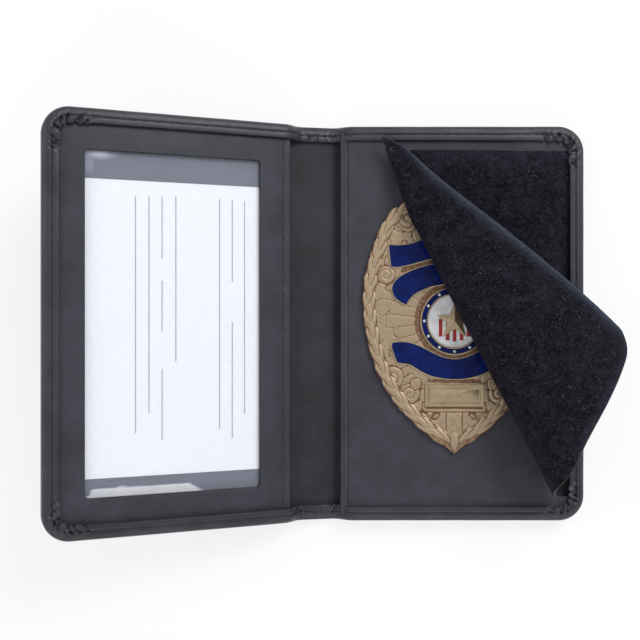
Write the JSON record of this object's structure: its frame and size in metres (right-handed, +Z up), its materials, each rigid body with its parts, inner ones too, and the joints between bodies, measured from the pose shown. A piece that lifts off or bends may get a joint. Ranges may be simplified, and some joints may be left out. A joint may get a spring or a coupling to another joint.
{
  "type": "badge and identity card wallet",
  "caption": "Bifold leather case, open: a card behind a clear window on one leaf, a struck metal badge under a peeled suede flap on the other",
  "frame": {"origin": "centre of the underside of the back leaf, which lies on the table", "axes": "+Z up, +Y along the fold towards the top of the badge, +X from the fold across the back leaf"},
  "size_m": [0.1491, 0.108, 0.0321],
  "materials": {
    "outer_leather": "fine grain, semi-matte black",
    "inner_leather": "fine grain, semi-matte black",
    "lining": "smooth black",
    "board": "grey board",
    "clear_sheet": "clear flexible sheet",
    "card_stock": "smooth printed card",
    "gold_plate": "die struck, antiqued",
    "blue_enamel": "hard enamel",
    "white_enamel": "hard enamel",
    "pin_steel": "nickel plated",
    "suede": "napped suede on both faces"
  },
  "bodies": {
    "back_leaf": {"cover_back": "outer_leather", "board_back": "board", "lining_back": "lining", "badge_panel": "inner_leather", "badge_shield": "gold_plate", "badge_wreath": "gold_plate", "badge_ribbons": "blue_enamel", "seal_rim": "gold_plate", "seal_disc": "white_enamel", "seal_star": "gold_plate", "number_plate": "gold_plate", "pin_joint": "pin_steel", "pin_stem": "pin_steel", "pin_catch": "pin_steel", "flap_base": "suede"},
    "spine": {"cover_spine": "outer_leather", "lining_spine": "lining"},
    "front_leaf": {"cover_front": "outer_leather", "board_front": "board", "lining_front": "lining", "window_sheet": "clear_sheet", "window_panel": "inner_leather"},
    "card": {"id_card": "card_stock"},
    "turn": {"flap_turn": "suede"},
    "roll": {"flap_roll": "suede"},
    "fall": {"flap_fall": "suede"},
    "tip": {"flap_tip": "suede"}
  },
  "joints": [
    {"name": "spine_fold", "type": "hinge", "parent": "back_leaf", "child": "spine", "pos_m": [-0.03365, 0, 0.00145], "axis": [0, 1, 0], "range_deg": [-10.9, 70.5]},
    {"name": "cover_fold", "type": "hinge", "parent": "spine", "child": "front_leaf", "pos_m": [-0.04543, 0, 0.00372], "axis": [0, 1, 0], "range_deg": [-10.9, 70.5]},
    {"name": "card_slide", "type": "slide", "parent": "front_leaf", "child": "card", "axis": [0.9285, 0, -0.3714], "range_m": [-0.003, 0.007]},
    {"name": "flap_fold", "type": "hinge", "parent": "back_leaf", "child": "turn", "pos_m": [0.00105, 0.00378, 0.0073], "axis": [0.4915, -0.8708, 0.0082], "range_deg": [0, 39.8]},
    {"name": "flap_fold_2", "type": "hinge", "parent": "turn", "child": "roll", "pos_m": [-0.00044, 0.00072, 0.01081], "axis": [0.4511, -0.8902, 0.064], "range_deg": [0, 72.31]},
    {"name": "flap_fold_3", "type": "hinge", "parent": "roll", "child": "fall", "pos_m": [-0.0007, 0.00332, 0.01487], "axis": [0.4619, -0.8769, 0.133], "range_deg": [0, 46.21]},
    {"name": "flap_fold_4", "type": "hinge", "parent": "fall", "child": "tip", "pos_m": [0.01644, 0.00436, 0.02055], "axis": [0.4852, -0.8605, 0.1556], "range_deg": [0, 48.51]}
  ],
  "couplings": [
    {"joint": "spine_fold", "follows": "cover_fold", "ratio": 1},
    {"joint": "flap_fold_2", "follows": "flap_fold", "ratio": 1.8165},
    {"joint": "flap_fold_3", "follows": "flap_fold", "ratio": 1.1608},
    {"joint": "flap_fold_4", "follows": "flap_fold", "ratio": 1.2185}
  ]
}
